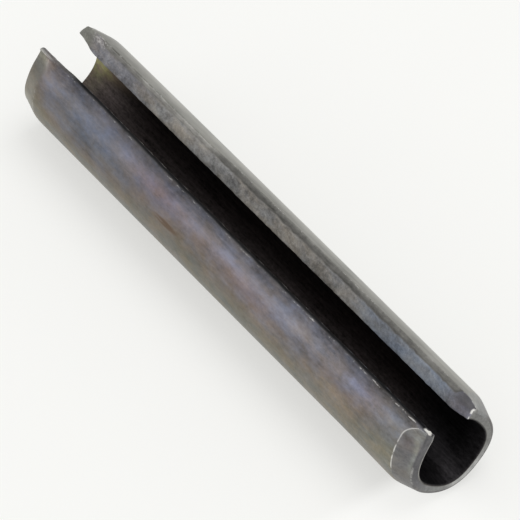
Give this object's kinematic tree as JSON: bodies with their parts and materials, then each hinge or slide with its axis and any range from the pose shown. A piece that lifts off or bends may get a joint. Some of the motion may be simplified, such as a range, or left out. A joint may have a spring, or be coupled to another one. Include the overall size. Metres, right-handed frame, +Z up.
{
  "type": "slotted spring pin",
  "caption": "Spring-steel strip rolled into a C-shaped tube with a lengthwise slot and thinned, tapered ends; it closes when driven into a slightly smaller hole and grips it.",
  "frame": {"origin": "on the pin's axis at mid-length", "axes": "+X along the pin's axis, +Z up through the middle of the slot, as the pin lies on a flat surface"},
  "size_m": [0.06, 0.0106, 0.0099],
  "materials": {
    "tempered_steel": "heat-blackened spring steel, satin, with mottled temper colours and bright worn edges"
  },
  "bodies": {
    "root": {"spring_pin": "tempered_steel"}
  },
  "joints": []
}
